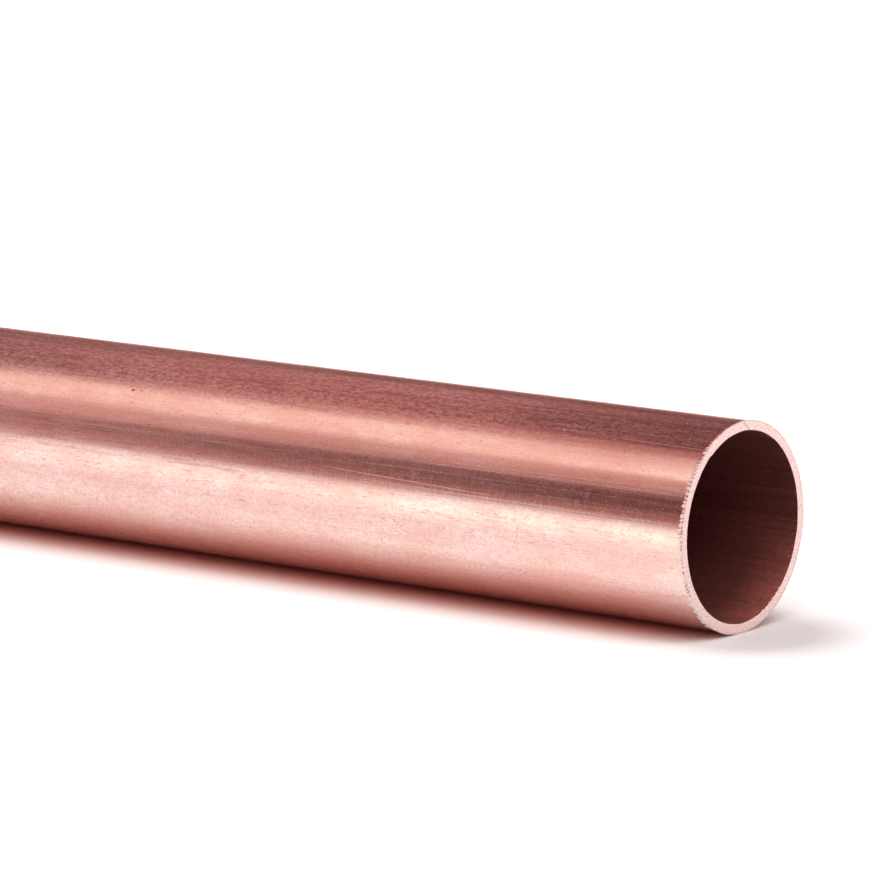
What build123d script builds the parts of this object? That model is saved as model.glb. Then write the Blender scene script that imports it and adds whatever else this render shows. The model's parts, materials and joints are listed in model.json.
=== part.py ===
from build123d import *

import os

# Straight length of hard-drawn copper refrigeration tube, lying level, in millimetres.
# +X runs along the tube towards the sawn mouth and +Z is up.
# The origin lies on the surface the tube rests on, below the middle of its length.

# Tube
outside_diameter = 28.58
wall = 1.27
length = 200.0

# Sawn mouth: the blade drags the outer edge into a thin raised lip, and leaves a shallow step inside it
lip_height = 0.13
lip_run = 0.60
lip_crest = 0.06
kerf_step = 0.05
kerf_width = 0.10

# Far end: a plain square cut with its edges lightly broken
edge_break = 0.20

# Places worked out from the sizes above
outer_radius = outside_diameter / 2
bore_radius = outer_radius - wall
lip_radius = outer_radius + lip_height
axis_height = lip_radius
mouth_x = length / 2
mid_wall_radius = (outer_radius + bore_radius) / 2

mouth_plane = Plane(origin=(mouth_x, 0, axis_height), x_dir=(0, 1, 0), z_dir=(1, 0, 0))
tube_axis = Axis((0, 0, axis_height), (1, 0, 0))

# The half-sections are drawn above the tube's axis: first coordinate along the tube, second coordinate radius
half_section = Plane(origin=(0, 0, axis_height), x_dir=(1, 0, 0), z_dir=(0, -1, 0))

with BuildPart() as copper_tube:
    # Drawn tube: one ring, run back from the mouth
    with BuildSketch(mouth_plane):
        Circle(outer_radius)
        Circle(bore_radius, mode=Mode.SUBTRACT)
    extrude(amount=-length)

    # Far end, inside and outside edges
    far_edges = copper_tube.edges().filter_by(GeomType.CIRCLE).group_by(Axis.X)[0]
    chamfer(far_edges, length=edge_break)

    # Raised lip: it leaves the outside at a tangent and ends in a narrow crest at the sawn face
    with BuildSketch(half_section):
        with BuildLine():
            lip_start = (mouth_x - lip_run, outer_radius)
            crest_start = (mouth_x - lip_crest, lip_radius)
            TangentArc(lip_start, crest_start, tangent=(1, 0))
            Line(crest_start, (mouth_x, lip_radius))
            Line((mouth_x, lip_radius), (mouth_x, mid_wall_radius))
            Line((mouth_x, mid_wall_radius), (mouth_x - lip_run, mid_wall_radius))
            Line((mouth_x - lip_run, mid_wall_radius), lip_start)
        make_face()
    revolve(axis=tube_axis)

    # Shallow step left between the lip and the sawn face
    with BuildSketch(mouth_plane):
        Circle(outer_radius)
        Circle(outer_radius - kerf_width, mode=Mode.SUBTRACT)
    extrude(amount=-kerf_step, mode=Mode.SUBTRACT)

copper_tube.part.label = "copper_tube"

os.makedirs("parts", exist_ok=True)
export_step(copper_tube.part, "parts/copper_tube.step")
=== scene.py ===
import json
import math

import bpy
import numpy as np
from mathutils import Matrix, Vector


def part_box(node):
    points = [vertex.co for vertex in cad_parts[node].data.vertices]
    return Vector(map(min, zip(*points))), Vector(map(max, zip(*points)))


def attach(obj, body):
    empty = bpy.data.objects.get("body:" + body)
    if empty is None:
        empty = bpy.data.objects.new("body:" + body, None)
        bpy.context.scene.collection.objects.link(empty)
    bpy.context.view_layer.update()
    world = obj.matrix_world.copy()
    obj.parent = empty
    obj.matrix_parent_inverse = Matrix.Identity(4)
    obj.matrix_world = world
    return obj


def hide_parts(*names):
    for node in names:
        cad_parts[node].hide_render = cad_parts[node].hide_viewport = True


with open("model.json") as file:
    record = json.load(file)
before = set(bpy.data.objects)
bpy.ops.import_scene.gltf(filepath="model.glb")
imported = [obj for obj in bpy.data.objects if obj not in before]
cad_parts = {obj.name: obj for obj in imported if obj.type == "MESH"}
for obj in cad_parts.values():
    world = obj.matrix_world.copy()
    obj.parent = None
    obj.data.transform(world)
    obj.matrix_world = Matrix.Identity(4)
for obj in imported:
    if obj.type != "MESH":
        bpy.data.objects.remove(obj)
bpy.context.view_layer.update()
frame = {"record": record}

# Lengths are metres. MM turns a size in millimetres into metres.
MM = 0.001
TURN = 2 * math.pi

# The tube, read from the frame
MOUNTS = {mount["name"]: mount for mount in frame["record"]["mounts"]}
TUBE_LOW, TUBE_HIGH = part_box("copper_tube")
OUTER_RADIUS = MOUNTS["far_end_outside"]["dims"]["r_mm"] * MM
BORE_RADIUS = MOUNTS["mouth_bore"]["dims"]["r_mm"] * MM
AXIS_HEIGHT = (TUBE_LOW[2] + TUBE_HIGH[2]) / 2
MOUTH_X = TUBE_HIGH[0]
FAR_X = TUBE_LOW[0]

# Mesh: faces round the tube, and rings along each stretch of it
SEGMENTS = 1260
BODY_RINGS = 14
BORE_RINGS = 12
FACE_RINGS = 9

# Sawn mouth
LIP_HEIGHT = 0.13 * MM
LIP_RUN = 0.60 * MM
BURR_RUN = 1.60 * MM
BURR_RINGS = 16
STEP_WIDTH = 0.13 * MM
STEP_DEPTH = 0.03 * MM
PIT_DEPTH = 0.10 * MM
TEETH = 158
FACE_GRAIN = 0.010 * MM
EDGE_WAVE = 0.070 * MM
INNER_BREAK = 0.03 * MM
BEND_DEPTH = 0.30 * MM

# Far end, both edges
EDGE_BREAK = 0.20 * MM

# Camera, from the fit of the photograph's tube and mouth
AZIMUTH = math.radians(37.72)
ELEVATION = math.radians(9.81)
LENS_MM = 220.5
SENSOR_MM = 36.0
FRAME_PX = 870
MOUTH_PX = (743.3, 527.3)
MOUTH_DEPTH = 49.7 * OUTER_RADIUS

# Floor. A glow or light of 1 is what a mirror shows as white. Out from the middle the glow grows to
# FLOOR_GLOW between the first two distances, and then to 1 at EDGE_FAR. It also grows past the tube's
# far end, behind the tube, and close beside it from the shade up to NEAR_GLOW. Left out under and
# beside the tube, the glow makes a painted shadow that deepens the lamps' own.
FLOOR_SIZE = 30.0
FLOOR_NEAR, FLOOR_FAR, FLOOR_GLOW = 0.13, 0.34, 0.52
EDGE_FAR = 2.2
BEYOND_NEAR, BEYOND_FAR = -0.11, -0.17
BEHIND_NEAR, BEHIND_FAR = 0.04, 0.20
SHADE_NEAR, SHADE_FAR = 0.70 * OUTER_RADIUS, 1.25 * OUTER_RADIUS
NEAR_GLOW = 0.36

# A strip of floor before the tube that glows brighter and cream, weaker on the left: painted light,
# which the tube mirrors as its highlight. And the floor's paint, which is copper-coloured below the
# tube as a painted bounce of the tube's light.
STRIP_START, STRIP_STOP = (0.035, 0.065), (0.15, 0.28)
STRIP_LEFT, STRIP_RIGHT, STRIP_LOSS = -0.12, -0.03, 0.6
STRIP_GLOW = 0.46
STRIP_TINT = (1.0, 0.98, 0.82, 1.0)
FLOOR_PAINT = (0.82, 0.89, 0.90, 1.0)
PAINTED_COPPER_BOUNCE = (0.84, 0.60, 0.55, 1.0)
BOUNCE_PAINT_END = 0.015

# Lamps. The softbox and its core are placed by their angle above the floor, in degrees.
SOFTBOX_ANGLE = 64
SOFTBOX_WIDTH, SOFTBOX_LIGHT = 0.98, 0.50
SOFTBOX_TINT = (1.0, 0.57, 0.52)
CORE_ANGLE = 67
CORE_WIDTH, CORE_LIGHT = 0.44, 0.52
CORE_TINT = (1.0, 1.0, 0.86)
CORE_DISTANCE = 0.98
SOFTBOX_LENGTH = 4.0
KEY_LIGHT = 2.5
FILL_LIGHT = 2.0
CARD_LIGHT = 0.34
CARD_TINT = (1.0, 0.46, 0.43)

# World, with heights above the horizon in degrees: white up to the first, tinted from the second, and
# dim from the last. BACK_FADE is how wide the change from front to back is, as a share.
HORIZON_WHITE, HORIZON_DIM = 1.8, 2.4
DIM_RISE = 15.0
HORIZON_TINT = (0.47, 0.155, 0.12, 1.0)
DIM_FRONT = (0.140, 0.053, 0.051, 1.0)
DIM_BACK = (0.240, 0.108, 0.107, 1.0)
BACK_FADE = 0.3

# Clock angles in degrees: the stretch near the top, darkened by painted shade, the patch by the mouth
# where painted shade dims the reflection, the smoothest stretch, the crosswise wipe marks, the second
# smooth stretch, the dashes on the side, where the painted shade of the redder, darker underside starts
# on both sides, and the redder patch of painted light low in the bore on both sides
TOP_CLOCK = -16
PAINTED_DIM_CLOCK = -42
CALM_CLOCK = -56
WIPE_CLOCK = -78
SHINE_CLOCK = -90
SIDE_CLOCK = -94
UNDERSIDE_SHADE_START, UNDERSIDE_SHADE_END = 118, 140
BORE_PAINTED_LIGHT_CLOCK = 146

# The middle value that a noise keeps when it is calmed
NOISE_MIDDLE = 0.45

# Surfaces of the tube, which are also its material slots
OUTSIDE, SAWN, BORE = 0, 1, 2


def ring_angles():
    """Clock angles round the tube in radians: 0 at the top, a quarter turn on the +Y side."""
    return np.arange(SEGMENTS) / SEGMENTS * TURN


def ring_noise(angles, knots, seed):
    """Smooth noise from -1 to 1 round the tube, through seeded values at evenly spaced knots."""
    values = np.random.default_rng(seed).uniform(-1, 1, knots)
    place = angles / TURN * knots
    low = np.floor(place).astype(int) % knots
    part = place - np.floor(place)
    ease = part * part * (3 - 2 * part)
    return values[low] * (1 - ease) + values[(low + 1) % knots] * ease


def away_from(angles, degrees):
    """Signed angle in degrees from a clock angle given in degrees, between -180 and 180."""
    return (np.degrees(angles) - degrees + 180) % 360 - 180


def swell(angles, degrees, width):
    """A rise to 1 at a clock angle that fades over a width, both in degrees."""
    return np.exp(-((away_from(angles, degrees) / width) ** 2))


def between(angles, start, stop, fade):
    """1 between two clock angles and 0 outside them, with soft ends, all in degrees."""
    middle, half = (start + stop) / 2, (stop - start) / 2
    return np.clip((half - np.abs(away_from(angles, middle))) / fade + 0.5, 0, 1)


def tooth_wave(angles):
    """0 in the gaps and 1 on the crests of the saw's teeth marks, uneven round the rim."""
    turn = angles / TURN * TEETH + 0.45 * ring_noise(angles, 70, 11) + 0.25 * ring_noise(angles, 150, 19)
    wave = 0.5 + 0.5 * np.cos(turn * TURN)
    height = 0.85 + 0.55 * ring_noise(angles, TEETH, 16)
    return np.clip(wave * height + 0.15 * ring_noise(angles, 400, 20), 0, 1)


def gaps(angles):
    """0 to 1: the row of small gaps between the burr and the sawn face, which the materials darken as painted
    shade.
    """
    rows = between(angles, 268, 327, 6) * (0.85 + 0.35 * ring_noise(angles, 60, 14))
    rows = np.maximum(rows, between(angles, 238, 275, 6) * (0.45 + 0.85 * ring_noise(angles, 85, 12)))
    rows = np.maximum(rows, between(angles, 200, 240, 6) * (ring_noise(angles, 105, 22) > 0.3) * 0.3)
    rows = np.maximum(rows, 0.5 * between(angles, 62, 150, 20) * (ring_noise(angles, 130, 13) > 0.4))
    return np.clip((1 - tooth_wave(angles)) ** 2.2 * rows, 0, 1)


def lip_height(angles):
    """Height of the lip over the outside of the tube."""
    height = 0.75 + 0.25 * ring_noise(angles, 130, 3) + 0.15 * ring_noise(angles, 24, 4)
    ragged = 0.35 * between(angles, 192, 240, 8) * ring_noise(angles, 150, 5)
    return LIP_HEIGHT * np.clip(height + ragged, 0.2, 1.6)


def folded_zone(angles):
    """0 to 1: where the burr is folded back over the outside, where the blade left the cut."""
    return between(angles, 196, 238, 14)


def burr_reach(angles):
    """How far back from the mouth the bright burr covers the outside of the tube."""
    edge = 0.09 + 0.04 * ring_noise(angles, 130, 15)
    size = 0.85 + 0.35 * ring_noise(angles, 50, 23)
    beads = 0.50 * between(angles, 244, 328, 5) * tooth_wave(angles) ** 0.7 * size
    ragged = 0.58 + 0.25 * ring_noise(angles, 60, 17) + 0.40 * ring_noise(angles, 330, 18)
    return MM * (edge + np.maximum(beads, folded_zone(angles) * np.clip(ragged, 0, 1.4)))


def inner_radius(angles):
    """Radius of the bore's edge at the sawn face, which wanders a little and has one nick."""
    wander = 0.7 * ring_noise(angles, 40, 6) + 0.3 * ring_noise(angles, 150, 7)
    nick = between(angles, 296, 324.5, 0.8) * np.clip((away_from(angles, 296)) / 28, 0, 1)
    return BORE_RADIUS + EDGE_WAVE * (wander + 1.0) / 2 + 0.12 * MM * nick


def slivers(angles):
    """0 to 1: small bright slivers of metal left on the bore's edge at the lower right."""
    marks = ((137.8, 0.9), (141.5, 0.5), (146.4, 1.1), (150.1, 0.8), (158.0, 0.4))
    return np.clip(sum(swell(angles, degrees, width) for degrees, width in marks), 0, 1)


def hairline(angles, radii):
    """0 to 1: a dark hairline that crosses the sawn face near the top."""
    start_angle, end_angle = -1.3, 5.9
    across = (OUTER_RADIUS - radii) / (OUTER_RADIUS - BORE_RADIUS)
    along = start_angle + (end_angle - start_angle) * across
    return swell(angles, along, 0.35)


def add_burr(add, angles):
    """The last stretch of the outside: the lip rises, and the bright burr and the gaps, darkened by painted
    shade, lie on it.
    """
    lip, reach, pit = lip_height(angles), burr_reach(angles), gaps(angles)
    soft = MM * (0.10 + 0.30 * folded_zone(angles))
    for share in np.linspace(0, 1, BURR_RINGS + 1)[1:]:
        back = BURR_RUN * (1 - share) ** 1.4 + 0.05 * MM
        rise = lip * np.clip(1 - back / LIP_RUN, 0, 1) ** 2
        bright = np.clip((reach - back) / soft + 0.5, 0, 1)
        gap = pit * np.clip(1.4 - back / (0.20 * MM), 0, 1)
        radius = OUTER_RADIUS + rise + 0.04 * MM * bright - 0.05 * MM * gap
        # The gaps' dark mark is painted shade.
        add(MOUTH_X - back, radius, OUTSIDE, 0.85 * gap, bright * (1 - gap))


def add_step(add, angles):
    """The lip's crest and the shallow step inside it, with the gaps and the line of the step darkened by
    painted shade.
    """
    lip, pit = lip_height(angles), gaps(angles)
    line = 0.30 * (1 - folded_zone(angles))
    crest = MOUTH_X - 0.02 * MM * (1 + ring_noise(angles, 140, 9))
    step = MOUTH_X - STEP_DEPTH
    # Dark marks here are painted shade in the gaps and along the step.
    add(crest - 0.06 * MM * pit, OUTER_RADIUS + lip * 0.8 - 0.06 * MM * pit, SAWN, 0.6 * pit)
    add(step - PIT_DEPTH * pit, OUTER_RADIUS - STEP_WIDTH * 0.25, SAWN, np.maximum(pit, line))
    add(step - PIT_DEPTH * pit, OUTER_RADIUS - STEP_WIDTH * 0.60, SAWN, np.maximum(pit, 0.5 * line))
    add(step * 0.5 + MOUTH_X * 0.5 - PIT_DEPTH * 0.3 * pit, OUTER_RADIUS - STEP_WIDTH, SAWN, 0.3 * pit)


def add_face(add, angles):
    """The sawn face with its grain and its hairline, from its outer edge in to the bore's edge."""
    rng = np.random.default_rng(21)
    outer = OUTER_RADIUS - STEP_WIDTH * 1.3
    inner = inner_radius(angles)
    for share in np.linspace(0, 1, FACE_RINGS):
        radius = outer + share * (inner + INNER_BREAK - outer)
        grain = FACE_GRAIN * rng.uniform(-1, 0, SEGMENTS)
        scratch = hairline(angles, radius)
        add(MOUTH_X + grain - 0.04 * MM * scratch, radius, SAWN, 0.9 * scratch)


def add_bore(add, angles):
    """The bore's edge with its slivers, and the bore back to the far end."""
    inner, sliver = inner_radius(angles), slivers(angles)
    add(MOUTH_X - INNER_BREAK * (1 - sliver), inner - 0.13 * MM * sliver, BORE, 0.0, sliver, sharp=True)
    add(MOUTH_X - BEND_DEPTH, BORE_RADIUS + 0.3 * (inner - BORE_RADIUS), BORE)
    bore_start = MOUTH_X - 3 * BEND_DEPTH
    for share in np.linspace(0, 1, BORE_RINGS):
        x = bore_start + share * (FAR_X + EDGE_BREAK - bore_start)
        add(x, BORE_RADIUS, BORE, sharp=share == 1)


def tube_rings():
    """The tube's closed section as rings from the far end, over the outside, the mouth and the bore.

    Each ring holds its x and radius at every clock angle, its dark marks (painted shade in the gaps and
    along the step, and the hairline) and its bright marks, the surface of the strip that follows it, and
    whether it is a sharp edge."""
    angles = ring_angles()
    ones = np.ones_like(angles)
    rings = []

    def add(x, radius, surface, dark=0.0, bright=0.0, sharp=False):
        """Adds one ring. Its values are numbers or arrays round the tube."""
        rings.append((x * ones, radius * ones, dark * ones, bright * ones, surface, sharp))

    add(FAR_X, OUTER_RADIUS - EDGE_BREAK, OUTSIDE, sharp=True)
    burr_start = MOUTH_X - BURR_RUN
    for share in np.linspace(0, 1, BODY_RINGS):
        x = FAR_X + EDGE_BREAK + share * (burr_start - FAR_X - EDGE_BREAK)
        add(x, OUTER_RADIUS, OUTSIDE, sharp=share == 0)
    add_burr(add, angles)
    add_step(add, angles)
    add_face(add, angles)
    add_bore(add, angles)
    add(FAR_X, BORE_RADIUS + EDGE_BREAK, SAWN, sharp=True)
    return rings


def unrolled_uv(rings):
    """Map coordinates for each strip.

    The surfaces are unrolled side by side with no stretch, but the sawn surface is widened so that its
    narrow rings get texture room of their own."""
    sheet = 210 * MM
    sawn_stretch = 30
    starts = {OUTSIDE: 0.01, BORE: 0.46, SAWN: 0.87}
    heights = {OUTSIDE: TURN * OUTER_RADIUS / sheet, BORE: TURN * BORE_RADIUS / sheet, SAWN: 0.12}
    rows = []
    run = {OUTSIDE: 0.01, BORE: 0.01, SAWN: 0.01}
    for index, (x, radius, _, _, surface, _) in enumerate(rings):
        next_x, next_radius = rings[(index + 1) % len(rings)][:2]
        width = math.hypot(float(next_x[0] - x[0]), float(next_radius[0] - radius[0])) / sheet
        if surface == SAWN:
            width *= sawn_stretch
        rows.append((run[surface], run[surface] + width, starts[surface], heights[surface]))
        run[surface] += width
    return rows


def skin_points(rings):
    """The place of every point, ring by ring, and its dark and bright marks."""
    angles = ring_angles()
    points = np.empty((len(rings), SEGMENTS, 3))
    marks = {"shade_and_scratch_mark": np.empty((len(rings), SEGMENTS)), "burr_mark": np.empty((len(rings), SEGMENTS))}
    for index, (x, radius, dark, bright, _, _) in enumerate(rings):
        points[index, :, 0] = x
        points[index, :, 1] = radius * np.sin(angles)
        points[index, :, 2] = AXIS_HEIGHT + radius * np.cos(angles)
        marks["shade_and_scratch_mark"][index] = dark
        marks["burr_mark"][index] = bright
    return points, marks


def skin_faces(rings):
    """The faces between each ring and the next, with their surfaces and the map corners of each."""
    faces, surfaces, corners = [], [], []
    rows = unrolled_uv(rings)
    for ring, (left, right, base, height) in enumerate(rows):
        here, after = ring * SEGMENTS, (ring + 1) % len(rings) * SEGMENTS
        for segment in range(SEGMENTS):
            step = (segment + 1) % SEGMENTS
            faces.append((here + segment, after + segment, after + step, here + step))
            low = base + height * segment / SEGMENTS
            high = base + height * (segment + 1) / SEGMENTS
            corners += [left, low, right, low, right, high, left, high]
            surfaces.append(rings[ring][4])
    return faces, surfaces, corners


def mark_sharp_rings(mesh, rings):
    """Makes the edges along the sharp rings sharp."""
    edge_ends = np.empty(len(mesh.edges) * 2, dtype=np.int64)
    mesh.edges.foreach_get("vertices", edge_ends)
    ring_of = edge_ends.reshape(-1, 2) // SEGMENTS
    sharp_rings = [index for index, ring in enumerate(rings) if ring[5]]
    sharp = (ring_of[:, 0] == ring_of[:, 1]) & np.isin(ring_of[:, 0], sharp_rings)
    mesh.edges.foreach_set("use_edge_sharp", sharp.tolist())


def make_tube():
    """The tube as one closed mesh, with its surfaces in three material slots."""
    rings = tube_rings()
    points, marks = skin_points(rings)
    faces, surfaces, corners = skin_faces(rings)
    mesh = bpy.data.meshes.new("copper_tube_skin")
    mesh.from_pydata(points.reshape(-1, 3).tolist(), [], faces)
    mesh.polygons.foreach_set("material_index", surfaces)
    mesh.polygons.foreach_set("use_smooth", [True] * len(faces))
    mark_sharp_rings(mesh, rings)
    layer = mesh.uv_layers.new(name="OFBake")
    layer.uv.foreach_set("vector", corners)
    for name, values in marks.items():
        attribute = mesh.attributes.new(name, "FLOAT", "POINT")
        attribute.data.foreach_set("value", values.ravel())
    mesh.update()
    tube = bpy.data.objects.new("copper_tube_skin", mesh)
    bpy.context.collection.objects.link(tube)
    return tube


class Tree:
    """A material's nodes, with short calls that add a node and return its output."""

    def __init__(self, name):
        self.material = bpy.data.materials.new(name)
        self.material.use_nodes = True
        self.nodes = self.material.node_tree.nodes
        self.links = self.material.node_tree.links
        self.shader = self.nodes["Principled BSDF"]

    def add(self, kind, inputs, **settings):
        """A new node, with its inputs set to values or linked to other nodes' outputs."""
        node = self.nodes.new(kind)
        for name, value in settings.items():
            setattr(node, name, value)
        for name, value in inputs.items():
            if isinstance(value, bpy.types.NodeSocket):
                self.links.new(value, node.inputs[name])
            else:
                node.inputs[name].default_value = value
        return node

    def set(self, **values):
        """Sets the shader's inputs, named with underscores for spaces."""
        for name, value in values.items():
            socket = self.shader.inputs[name.replace("_", " ")]
            if isinstance(value, bpy.types.NodeSocket):
                self.links.new(value, socket)
            else:
                socket.default_value = value

    def place(self, along, across):
        """The point on the object, in metres, scaled along the tube and across it."""
        spot = self.add("ShaderNodeTexCoord", {}).outputs["Object"]
        scaled = self.add("ShaderNodeVectorMath", {0: spot, 1: (along, across, across)}, operation="MULTIPLY")
        return scaled.outputs[0]

    def noise(self, along, across, detail=2.0, roughness=0.5, shift=0.0):
        """Noise from about 0 to 1, with so many cells a metre along the tube and across it."""
        spot = self.place(along, across)
        moved = self.add("ShaderNodeVectorMath", {0: spot, 1: (shift, shift, shift)}).outputs[0]
        return self.add(
            "ShaderNodeTexNoise",
            {"Vector": moved, "Scale": 1.0, "Detail": detail, "Roughness": roughness},
        ).outputs["Fac"]

    def ramp(self, value, low, high, to_low=0.0, to_high=1.0):
        """value from low to high, stretched to a new range and held at its ends."""
        return self.add(
            "ShaderNodeMapRange",
            {"Value": value, "From Min": low, "From Max": high, "To Min": to_low, "To Max": to_high},
        ).outputs["Result"]

    def math(self, operation, first, second=0.0):
        """The result of one arithmetic step."""
        return self.add("ShaderNodeMath", {0: first, 1: second}, operation=operation).outputs[0]

    def clock(self):
        """The place round the tube in degrees: 0 at the top, positive on the +Y side."""
        spot = self.add("ShaderNodeTexCoord", {}).outputs["Object"]
        parts = self.add("ShaderNodeSeparateXYZ", {0: spot}).outputs
        height = self.math("SUBTRACT", parts["Z"], AXIS_HEIGHT)
        return self.math("MULTIPLY", self.math("ARCTAN2", parts["Y"], height), 360 / TURN)

    def off(self, clock, degrees):
        """How far a clock value is from a clock angle, in degrees."""
        return self.math("ABSOLUTE", self.math("SUBTRACT", clock, degrees))

    def calmed(self, noise, calm):
        """Noise drawn in towards its middle value by a factor from 0 to 1."""
        swing = self.math("MULTIPLY", self.math("SUBTRACT", noise, NOISE_MIDDLE), calm)
        return self.math("ADD", swing, NOISE_MIDDLE)

    def back(self):
        """The distance back from the mouth."""
        spot = self.add("ShaderNodeTexCoord", {}).outputs["Object"]
        return self.math("SUBTRACT", MOUTH_X, self.add("ShaderNodeSeparateXYZ", {0: spot}).outputs["X"])

    def stroke(self, start, end, width, fade=1.0):
        """0 to 1: a mark on the outside between two places. A place is the distance back from the mouth
        in millimetres and the clock angle in degrees. width and fade are in millimetres."""
        back, clock = self.back(), self.clock()
        share = self.ramp(back, start[0] * MM, end[0] * MM)
        middle = self.ramp(share, 0.0, 1.0, start[1], end[1])
        half = width / 2 * MM / OUTER_RADIUS * 360 / TURN
        across = self.ramp(self.off(clock, middle), 0.4 * half, half, 1.0, 0.0)
        low, high = sorted((start[0], end[0]))
        inside = self.math(
            "MULTIPLY",
            self.ramp(back, (low - fade / 2) * MM, (low + fade / 2) * MM),
            self.ramp(back, (high - fade / 2) * MM, (high + fade / 2) * MM, 1.0, 0.0),
        )
        return self.math("MULTIPLY", across, inside)

    def blend(self, factor, first, second):
        """The first colour where the factor is 0 and the second where it is 1."""
        return self.add("ShaderNodeMix", {0: factor, 6: first, 7: second}, data_type="RGBA").outputs[2]

    def bump(self, height, distance, normal=None):
        """A normal that follows a height, on top of another normal if one is given."""
        inputs = {"Height": height, "Distance": distance, "Strength": 1.0}
        if normal is not None:
            inputs["Normal"] = normal
        return self.add("ShaderNodeBump", inputs).outputs["Normal"]

    def mark(self, name):
        """A mark from 0 to 1 that the mesh holds at its points."""
        return self.add("ShaderNodeAttribute", {}, attribute_name=name).outputs["Fac"]


def colour(red, green, blue):
    """A linear colour with full alpha."""
    return (red, green, blue, 1.0)


def outside_marks(tree):
    """Two values from 0 to 1: pale scratches and brown smudges, where the photograph shows them."""
    pale = tree.stroke((34, -78.5), (60, -75.4), 0.11, 8)
    for start, end, width in (
        ((0.5, -65.3), (44, -65.9), 0.10),
        ((2.0, -64.4), (36, -64.9), 0.08),
        ((12, -62.9), (41, -64.0), 0.07),
        ((0.8, -36.2), (15, -35.2), 0.12),
        ((16, -81.0), (52, -79.6), 0.08),
    ):
        pale = tree.math("MAXIMUM", pale, tree.stroke(start, end, width, 6))
    smudge = tree.stroke((13.6, -72.0), (18.6, -72.0), 4.6, 3)
    smudge = tree.math("MULTIPLY", smudge, tree.ramp(tree.noise(900, 500, 2.0, 0.6, 3.7), 0.45, 0.62))
    chip = tree.stroke((98.2, -45.7), (98.7, -45.7), 0.42, 0.3)
    trail = tree.stroke((93.5, -45.4), (98.0, -45.6), 0.30, 1.5)
    trail = tree.math("MULTIPLY", trail, tree.ramp(tree.noise(1700, 1700, 1.0, 0.5, 1.3), 0.52, 0.60))
    brown = tree.math("MAXIMUM", chip, tree.math("MULTIPLY", trail, 0.5))
    brown = tree.math("MAXIMUM", brown, tree.math("MULTIPLY", smudge, 0.35))
    return pale, brown


def outside_masks(tree):
    """The outside's patterns as values from about 0 to 1, and the distance back from the mouth."""
    waves = tree.noise(7, 430, 1.0, 0.5, 1.7)
    lines = tree.noise(25, 3600, 3.0, 0.65, 3.1)
    streaks = tree.noise(1300, 4700, 3.0, 0.7, 9.2)
    mottle = tree.noise(330, 1100, 3.0, 0.65, 4.9)
    clouds = tree.noise(90, 170, 3.0, 0.6, 7.7)
    fuzz = tree.noise(5200, 1500, 2.0, 0.7, 5.3)
    painted_top_shade = tree.noise(1150, 2000, 3.0, 0.8, 8.8)
    grit = tree.ramp(tree.noise(3700, 5200, 1.0, 0.5, 2.6), 0.60, 0.72)
    flecks = tree.ramp(tree.noise(1500, 3600, 1.0, 0.5, 6.1), 0.69, 0.77)
    dashes = tree.ramp(tree.noise(800, 4200, 1.0, 0.5, 4.4), 0.62, 0.70)
    pit = tree.mark("shade_and_scratch_mark")
    burr = tree.mark("burr_mark")
    pale, brown = outside_marks(tree)
    back = tree.back()
    clock = tree.clock()
    grit = tree.math("MULTIPLY", grit, tree.ramp(back, 2 * MM, 60 * MM, 0.55, 0.4))
    off_top = tree.off(clock, TOP_CLOCK)
    near_top = tree.ramp(off_top, 18, 32, 1.0, 0.0)
    # Painted shade: grainy darkening near the top.
    painted_top_shade = tree.math("MULTIPLY", tree.ramp(painted_top_shade, 0.45, 0.59), near_top)
    side = tree.ramp(tree.off(clock, WIPE_CLOCK), 8, 16, 1.0, 0.0)
    threads = tree.ramp(tree.noise(80, 2100, 3.0, 0.7, 6.6), 0.50, 0.68)
    far_side = tree.math("MULTIPLY", side, tree.ramp(back, 40 * MM, 75 * MM, 0.0, 0.6))
    threads = tree.math("MULTIPLY", threads, tree.math("MAXIMUM", near_top, far_side))
    specks = tree.math("MULTIPLY", tree.ramp(tree.noise(2600, 3100, 1.0, 0.5, 8.2), 0.71, 0.77), near_top)
    dashes = tree.math("MULTIPLY", dashes, tree.ramp(tree.off(clock, SIDE_CLOCK), 6, 14, 1.0, 0.0))
    calm = tree.ramp(tree.off(clock, CALM_CLOCK), 8, 16, 0.55, 1.0)
    calm = tree.math("MINIMUM", calm, tree.ramp(tree.off(clock, SHINE_CLOCK), 4, 8, 0.70, 1.0))
    calm = tree.math("MINIMUM", calm, tree.ramp(back, 12 * MM, 45 * MM, 0.70, 1.0))
    streaks = tree.calmed(streaks, calm)
    fuzz = tree.calmed(fuzz, calm)
    wipes = tree.math("MULTIPLY", tree.ramp(tree.noise(2600, 330, 2.0, 0.6, 1.9), 0.46, 0.72), side)
    wipes = tree.math("MULTIPLY", wipes, tree.ramp(back, 4 * MM, 14 * MM))
    wipes = tree.math("MULTIPLY", wipes, tree.ramp(back, 45 * MM, 80 * MM, 1.0, 0.1))
    # Painted shade: dims the softbox's reflection in a patch by the mouth.
    dull = tree.ramp(tree.off(clock, PAINTED_DIM_CLOCK), 5, 12, 1.0, 0.0)
    dull = tree.math("MULTIPLY", dull, tree.ramp(back, 10 * MM, 46 * MM, 1.0, 0.0))
    # Painted shade: the underside, redder and darker.
    low = tree.ramp(tree.math("ABSOLUTE", clock), UNDERSIDE_SHADE_START, UNDERSIDE_SHADE_END)
    line_dark = tree.ramp(lines, 0.50, 0.72)
    line_pale = tree.ramp(lines, 0.46, 0.30)
    return {
        "waves": waves, "lines": lines, "streaks": streaks, "mottle": mottle, "clouds": clouds,
        "fuzz": fuzz, "painted_top_shade": painted_top_shade, "grit": grit, "flecks": flecks, "dashes": dashes, "pit": pit,
        "burr": burr, "pale": pale, "brown": brown, "threads": threads, "specks": specks, "wipes": wipes,
        "dull": dull, "low": low, "line_dark": line_dark, "line_pale": line_pale, "back": back,
    }


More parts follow.
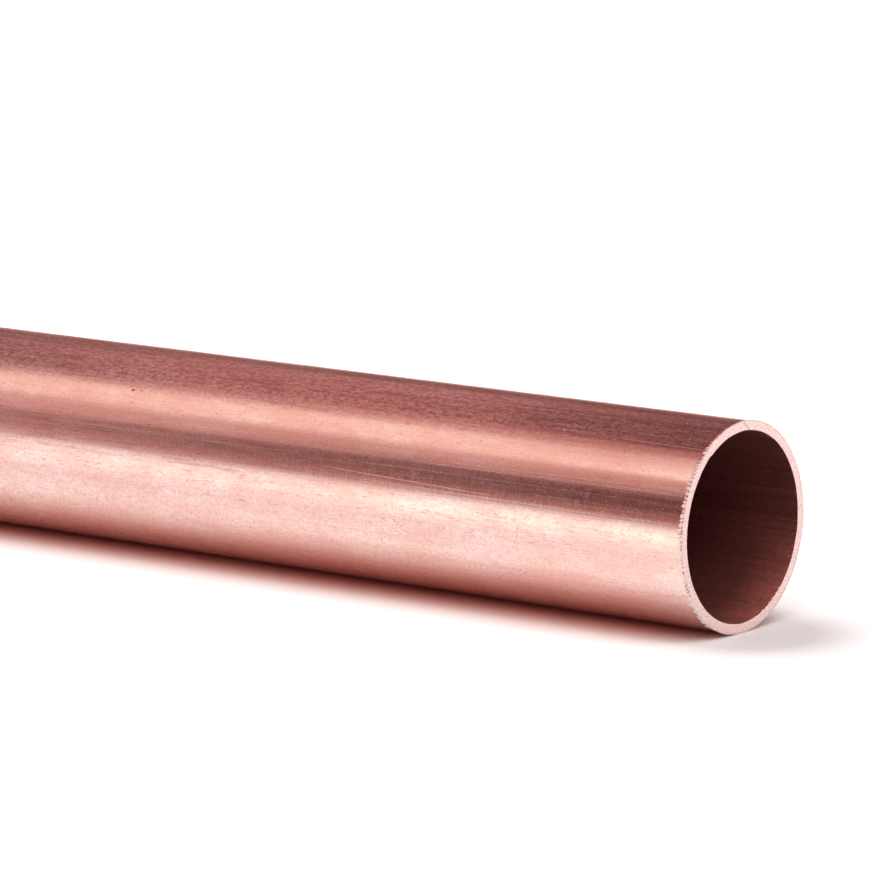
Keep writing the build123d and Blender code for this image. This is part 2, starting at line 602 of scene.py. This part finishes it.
def outside_colour(tree, masks):
    """Copper with clouds, streaks and fuzz and its marks of handling, with painted shade: darker near the
    top, redder and darker on the underside, dimmer by the mouth and dark in the burr's gaps.
    """
    clouds = tree.ramp(masks["clouds"], 0.38, 0.62)
    base = tree.blend(clouds, colour(0.98, 0.83, 0.78), colour(0.94, 0.67, 0.61))
    base = tree.blend(tree.ramp(masks["mottle"], 0.40, 0.70, 0.0, 0.38), base, colour(0.86, 0.55, 0.50))
    base = tree.blend(tree.ramp(masks["streaks"], 0.40, 0.68, 0.0, 0.56), base, colour(0.70, 0.42, 0.37))
    base = tree.blend(tree.ramp(masks["fuzz"], 0.44, 0.70, 0.0, 0.64), base, colour(0.74, 0.45, 0.40))
    # Painted shade on the underside, redder and darker.
    base = tree.blend(tree.math("MULTIPLY", masks["low"], 0.32), base, colour(0.86, 0.44, 0.40))
    base = tree.blend(tree.math("MULTIPLY", masks["threads"], 0.85), base, colour(0.46, 0.23, 0.21))
    # Painted shade that dims the reflection by the mouth.
    base = tree.blend(tree.math("MULTIPLY", masks["dull"], 0.62), base, colour(0.55, 0.29, 0.27))
    base = tree.blend(tree.math("MULTIPLY", masks["line_dark"], 0.25), base, colour(0.62, 0.33, 0.29))
    # Painted shade, grainy, near the top.
    base = tree.blend(tree.math("MULTIPLY", masks["painted_top_shade"], 0.92), base, colour(0.50, 0.27, 0.25))
    base = tree.blend(tree.math("MULTIPLY", masks["flecks"], 0.6), base, colour(0.42, 0.17, 0.14))
    base = tree.blend(tree.math("MULTIPLY", masks["dashes"], 0.5), base, colour(0.62, 0.28, 0.24))
    base = tree.blend(tree.math("MULTIPLY", masks["specks"], 0.55), base, colour(1.0, 0.80, 0.74))
    base = tree.blend(tree.math("MULTIPLY", masks["pale"], 0.4), base, colour(0.97, 0.78, 0.72))
    base = tree.blend(tree.math("MULTIPLY", masks["burr"], 0.95), base, colour(1.0, 0.93, 0.91))
    # Painted shade in the burr's gaps, and brown chips and smudges.
    base = tree.blend(tree.math("MAXIMUM", masks["pit"], masks["brown"]), base, colour(0.17, 0.065, 0.055))
    return base


def outside_roughness(tree, masks):
    """Satin, rougher away from the mouth and on grit, specks, scratches and burr."""
    rough = tree.ramp(masks["clouds"], 0.3, 0.7, 0.140, 0.185)
    rough = tree.math("ADD", rough, tree.ramp(masks["back"], 0.0, 150 * MM, 0.0, 0.085))
    rough = tree.math("ADD", rough, tree.ramp(masks["streaks"], 0.50, 0.72, 0.0, 0.08))
    rough = tree.math("ADD", rough, tree.ramp(masks["mottle"], 0.45, 0.75, 0.0, 0.05))
    rough = tree.math("ADD", rough, tree.math("MULTIPLY", masks["line_pale"], 0.05))
    rough = tree.math("ADD", rough, tree.math("MULTIPLY", masks["grit"], 0.18))
    rough = tree.math("ADD", rough, tree.math("MULTIPLY", masks["wipes"], 0.06))
    rough = tree.math("ADD", rough, tree.math("MULTIPLY", masks["specks"], 0.22))
    rough = tree.math("ADD", rough, tree.math("MULTIPLY", masks["pale"], 0.30))
    rough = tree.math("ADD", rough, tree.math("MULTIPLY", masks["burr"], 0.35))
    return rough


def outside_metal(tree, masks):
    """How metallic the outside is, less so under haze, grit, specks and burr."""
    metal = tree.ramp(masks["back"], 0.0, 120 * MM, 0.98, 0.88)
    metal = tree.math("SUBTRACT", metal, tree.math("MULTIPLY", masks["line_pale"], 0.10))
    metal = tree.math("SUBTRACT", metal, tree.math("MULTIPLY", masks["grit"], 0.06))
    metal = tree.math("SUBTRACT", metal, tree.math("MULTIPLY", masks["specks"], 0.25))
    metal = tree.math("SUBTRACT", metal, tree.math("MULTIPLY", masks["burr"], 0.55))
    return metal


def outside_material():
    """Drawn copper: satin, with fine lines along the tube, soft tarnish, a haze that grows away from
    the mouth, and the marks of handling, with painted shade near the top, on the underside, by the mouth
    and in the burr's gaps."""
    tree = Tree("drawn_copper")
    masks = outside_masks(tree)
    surface = tree.bump(masks["waves"], 0.036 * MM)
    surface = tree.bump(masks["lines"], 0.0035 * MM, surface)
    surface = tree.bump(masks["streaks"], 0.0016 * MM, surface)
    tree.set(
        Base_Color=outside_colour(tree, masks),
        Metallic=outside_metal(tree, masks),
        Roughness=outside_roughness(tree, masks),
        Normal=surface,
    )
    return tree.material


def sawn_material():
    """The sawn face and its burr: bright, matte and granular, dark in its gaps and along its step as painted
    shade, and along its hairline scratch.
    """
    tree = Tree("sawn_copper")
    grain = tree.noise(4300, 4300, 3.0, 0.8)
    patches = tree.noise(600, 600, 2.0, 0.5, 2.9)
    pit = tree.mark("shade_and_scratch_mark")
    base = tree.blend(tree.ramp(grain, 0.42, 0.60), colour(0.99, 0.90, 0.88), colour(0.74, 0.45, 0.41))
    base = tree.blend(tree.ramp(patches, 0.35, 0.70, 0.0, 0.35), base, colour(0.93, 0.68, 0.63))
    # Painted shade in the gaps and along the step, and the dark hairline scratch.
    base = tree.blend(pit, base, colour(0.16, 0.06, 0.05))
    surface = tree.bump(grain, 0.07 * MM)
    tree.set(Base_Color=base, Metallic=0.7, Roughness=0.48, Normal=surface)
    return tree.material


def bore_material():
    """The bore: dull brown oxide with faint reddish lines along the tube, and small nicks near the mouth.
    Painted light: darker at the mouth and lighter deeper in, and a redder, brighter patch low near the mouth.
    """
    tree = Tree("bore_copper")
    lines = tree.noise(14, 2300, 4.0, 0.7, 2.2)
    broad = tree.noise(25, 330, 2.0, 0.5, 5.9)
    grain = tree.noise(1200, 2800, 2.0, 0.6, 4.4)
    nicks = tree.ramp(tree.noise(2400, 3300, 2.0, 0.6, 7.1), 0.62, 0.70)
    nicks = tree.math("MULTIPLY", nicks, tree.ramp(tree.back(), 0.2 * MM, 1.6 * MM, 0.25, 0.0))
    burr = tree.mark("burr_mark")
    back = tree.back()
    # Painted light: a redder, brighter patch low in the bore by the mouth, where light comes in.
    off_low = tree.off(tree.math("ABSOLUTE", tree.clock()), BORE_PAINTED_LIGHT_CLOCK)
    near_mouth = tree.ramp(back, 0.5 * MM, 7 * MM, 1.0, 0.0)
    low = tree.math("MULTIPLY", tree.ramp(off_low, 18, 48, 1.0, 0.0), near_mouth)
    # Painted light: darker at the mouth and lighter deeper in, evening out how the light falls off down the
    # bore.
    deep = tree.ramp(back, 0.0, 26 * MM)
    base = tree.blend(deep, colour(0.120, 0.039, 0.034), colour(0.25, 0.078, 0.068))
    # Painted light, low near the mouth.
    base = tree.blend(low, base, colour(0.46, 0.145, 0.115))
    base = tree.blend(tree.ramp(broad, 0.35, 0.70, 0.0, 0.5), base, colour(0.13, 0.038, 0.032))
    strength = tree.ramp(back, 6 * MM, 20 * MM, 0.42, 0.10)
    lines = tree.math("MULTIPLY", tree.ramp(lines, 0.48, 0.72), strength)
    base = tree.blend(lines, base, colour(0.42, 0.115, 0.090))
    base = tree.blend(tree.ramp(grain, 0.42, 0.75, 0.0, 0.45), base, colour(0.08, 0.024, 0.020))
    base = tree.blend(tree.math("MAXIMUM", nicks, burr), base, colour(0.98, 0.86, 0.83))
    surface = tree.bump(lines, 0.012 * MM)
    tree.set(Base_Color=base, Metallic=0.25, Roughness=0.5, Specular_IOR_Level=0.3, Normal=surface)
    return tree.material


def make_floor():
    """A large white floor. Its glow reaches only the camera and mirrored and refracted rays. It is
    stronger far away and in a strip before the tube, which is painted light, and off under the tube as a
    painted shadow. Close below the tube its paint is copper-coloured, a painted bounce of the tube's light."""
    size = FLOOR_SIZE
    corners = [(-size, -size, 0), (size, -size, 0), (size, size, 0), (-size, size, 0)]
    mesh = bpy.data.meshes.new("floor")
    mesh.from_pydata(corners, [], [(0, 1, 2, 3)])
    floor = bpy.data.objects.new("floor", mesh)
    bpy.context.collection.objects.link(floor)
    tree = Tree("floor_white")
    nodes, links = tree.nodes, tree.links
    nodes.remove(tree.shader)
    path = tree.add("ShaderNodeLightPath", {})
    seen = tree.math("MAXIMUM", path.outputs["Is Camera Ray"], path.outputs["Is Glossy Ray"])
    seen = tree.math("MAXIMUM", seen, path.outputs["Is Transmission Ray"])
    spot = tree.add("ShaderNodeTexCoord", {}).outputs["Object"]
    parts = tree.add("ShaderNodeSeparateXYZ", {0: spot}).outputs

    def away_from_tube(half_length):
        """The distance over the floor from a line of that half length below the tube's axis."""
        over = tree.math("SUBTRACT", tree.math("ABSOLUTE", parts["X"]), half_length)
        offset = tree.add("ShaderNodeCombineXYZ", {0: tree.math("MAXIMUM", over), 1: parts["Y"]}).outputs[0]
        return tree.add("ShaderNodeVectorMath", {0: offset}, operation="LENGTH").outputs["Value"]

    away = away_from_tube(MOUTH_X)
    far = tree.add("ShaderNodeVectorMath", {0: spot}, operation="LENGTH").outputs["Value"]
    # Painted shadow: no glow under and close beside the tube.
    glow = tree.ramp(away, SHADE_NEAR, SHADE_FAR, 0.0, NEAR_GLOW)
    before = tree.math("MULTIPLY", parts["Y"], -1.0)
    # Painted light: the glowing strip before the tube, which the tube mirrors as its highlight.
    strip = tree.math("MINIMUM", tree.ramp(before, *STRIP_START), tree.ramp(before, *STRIP_STOP, 1.0, 0.0))
    strip = tree.math("MULTIPLY", strip, tree.ramp(parts["X"], STRIP_LEFT, STRIP_RIGHT, 1 - STRIP_LOSS, 1.0))
    glow = tree.math("ADD", glow, tree.math("MULTIPLY", strip, STRIP_GLOW))
    glow = tree.math("MAXIMUM", glow, tree.ramp(parts["Y"], BEHIND_NEAR, BEHIND_FAR))
    outward = tree.math(
        "ADD",
        tree.ramp(far, FLOOR_NEAR, FLOOR_FAR, 0.0, FLOOR_GLOW),
        tree.ramp(far, FLOOR_FAR, EDGE_FAR, 0.0, 1 - FLOOR_GLOW),
    )
    glow = tree.math("MAXIMUM", glow, outward)
    glow = tree.math("MAXIMUM", glow, tree.ramp(parts["X"], BEYOND_NEAR, BEYOND_FAR, 0.0, FLOOR_GLOW))
    glow = tree.math("MINIMUM", glow, 1.0)
    shade = tree.blend(strip, colour(1, 1, 1), STRIP_TINT)
    emit = tree.add("ShaderNodeEmission", {"Color": shade, "Strength": tree.math("MULTIPLY", seen, glow)})
    # Painted bounce light: close below the tube the paint turns copper-coloured, stopping a little short of
    # its ends.
    inside = away_from_tube(MOUTH_X - BOUNCE_PAINT_END)
    tint = tree.blend(tree.ramp(inside, 0.5 * OUTER_RADIUS, 1.2 * OUTER_RADIUS), PAINTED_COPPER_BOUNCE, FLOOR_PAINT)
    paint = tree.add("ShaderNodeBsdfDiffuse", {"Color": tint})
    both = tree.add("ShaderNodeAddShader", {0: emit.outputs[0], 1: paint.outputs[0]})
    links.new(both.outputs[0], nodes["Material Output"].inputs["Surface"])
    mesh.materials.append(tree.material)


def add_lamp(name, place, size_x, size_y, radiance, tint=(1, 1, 1), square=False):
    """A rectangular soft lamp aimed at the tube's middle, or square to its axis.

    radiance is what a mirror would show of it."""
    light = bpy.data.lights.new(name, "AREA")
    light.shape = "RECTANGLE"
    light.size, light.size_y = size_x, size_y
    light.energy = radiance * math.pi * size_x * size_y
    light.color = tint
    lamp = bpy.data.objects.new(name, light)
    lamp.location = place
    lamp.visible_camera = False
    target = Vector((place[0] if square else 0, 0, AXIS_HEIGHT))
    lamp.rotation_mode = "QUATERNION"
    lamp.rotation_quaternion = (target - Vector(place)).to_track_quat("-Z", "Y")
    bpy.context.collection.objects.link(lamp)


def make_lamps():
    """A long softbox above and in front with a brighter core, a key and a fill lamp on the mouth's side,
    and two dim cards that lift the dark reflections away from the mouth."""
    rise, core_rise = math.radians(SOFTBOX_ANGLE), math.radians(CORE_ANGLE)
    above = Vector((0, -math.cos(rise), math.sin(rise)))
    core = Vector((0, -math.cos(core_rise), math.sin(core_rise))) * CORE_DISTANCE
    add_lamp("softbox", above, SOFTBOX_LENGTH, SOFTBOX_WIDTH, SOFTBOX_LIGHT, SOFTBOX_TINT)
    add_lamp("softbox_core", core, SOFTBOX_LENGTH, CORE_WIDTH, CORE_LIGHT, CORE_TINT)
    add_lamp("key", Vector((0.45, -0.30, 0.84)) * 2.0, 1.7, 1.7, KEY_LIGHT)
    add_lamp("fill", Vector((0.65, 0.68, 0.34)) * 1.6, 1.2, 0.8, FILL_LIGHT)
    add_lamp("card_front", (-0.80, -0.46, 0.23), 0.80, 0.34, 0.8 * CARD_LIGHT, CARD_TINT, square=True)
    add_lamp("card_back", (-0.35, 0.22, 0.42), 0.16, 0.56, CARD_LIGHT, CARD_TINT, square=True)


def make_world():
    """A studio that is white at the horizon all round and dim and warm above it, a little less dim behind."""
    world = bpy.data.worlds.new("studio")
    bpy.context.scene.world = world
    world.use_nodes = True
    nodes, links = world.node_tree.nodes, world.node_tree.links
    background = nodes["Background"]
    spot = nodes.new("ShaderNodeTexCoord").outputs["Generated"]
    parts = nodes.new("ShaderNodeSeparateXYZ")
    links.new(spot, parts.inputs[0])

    def fade(value, low, high):
        """0 to 1 as a value goes from low to high."""
        node = nodes.new("ShaderNodeMapRange")
        links.new(value, node.inputs["Value"])
        node.inputs["From Min"].default_value = low
        node.inputs["From Max"].default_value = high
        return node.outputs["Result"]

    def mix(factor, first, second):
        """The first colour where the factor is 0 and the second where it is 1."""
        node = nodes.new("ShaderNodeMix")
        node.data_type = "RGBA"
        links.new(factor, node.inputs[0])
        for socket, value in ((node.inputs[6], first), (node.inputs[7], second)):
            if isinstance(value, bpy.types.NodeSocket):
                links.new(value, socket)
            else:
                socket.default_value = value
        return node.outputs[2]

    heights = (HORIZON_WHITE, HORIZON_DIM, DIM_RISE)
    low, high, top = (math.sin(math.radians(degrees)) for degrees in heights)
    above = mix(fade(parts.outputs["Y"], -BACK_FADE, BACK_FADE), DIM_FRONT, DIM_BACK)
    above = mix(fade(parts.outputs["Z"], high, top), HORIZON_TINT, above)
    links.new(mix(fade(parts.outputs["Z"], low, high), colour(1, 1, 1), above), background.inputs["Color"])
    background.inputs["Strength"].default_value = 1.0


def make_camera():
    """The photograph's camera: its angle, its lens, and the mouth's centre at its pixel."""
    back = Vector((
        math.sin(AZIMUTH) * math.cos(ELEVATION),
        -math.cos(AZIMUTH) * math.cos(ELEVATION),
        math.sin(ELEVATION),
    ))
    right = Vector((math.cos(AZIMUTH), math.sin(AZIMUTH), 0))
    up = back.cross(right)
    per_pixel = SENSOR_MM / LENS_MM / FRAME_PX
    aside = (MOUTH_PX[0] - FRAME_PX / 2) * per_pixel
    below = (MOUTH_PX[1] - FRAME_PX / 2) * per_pixel
    mouth = Vector((MOUTH_X, 0, AXIS_HEIGHT))
    data = bpy.data.cameras.new("camera")
    data.lens = LENS_MM
    data.sensor_width = SENSOR_MM
    data.clip_start, data.clip_end = 0.01, 100.0
    camera = bpy.data.objects.new("camera", data)
    camera.location = mouth + MOUTH_DEPTH * (back - aside * right + below * up)
    camera.rotation_mode = "QUATERNION"
    camera.rotation_quaternion = (-back).to_track_quat("-Z", "Y")
    bpy.context.collection.objects.link(camera)
    bpy.context.scene.camera = camera


tube = make_tube()
for material in (outside_material(), sawn_material(), bore_material()):
    tube.data.materials.append(material)
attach(tube, "root")
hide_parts("copper_tube")

make_floor()
make_world()
make_lamps()
make_camera()
bpy.context.scene.view_settings.view_transform = "Standard"
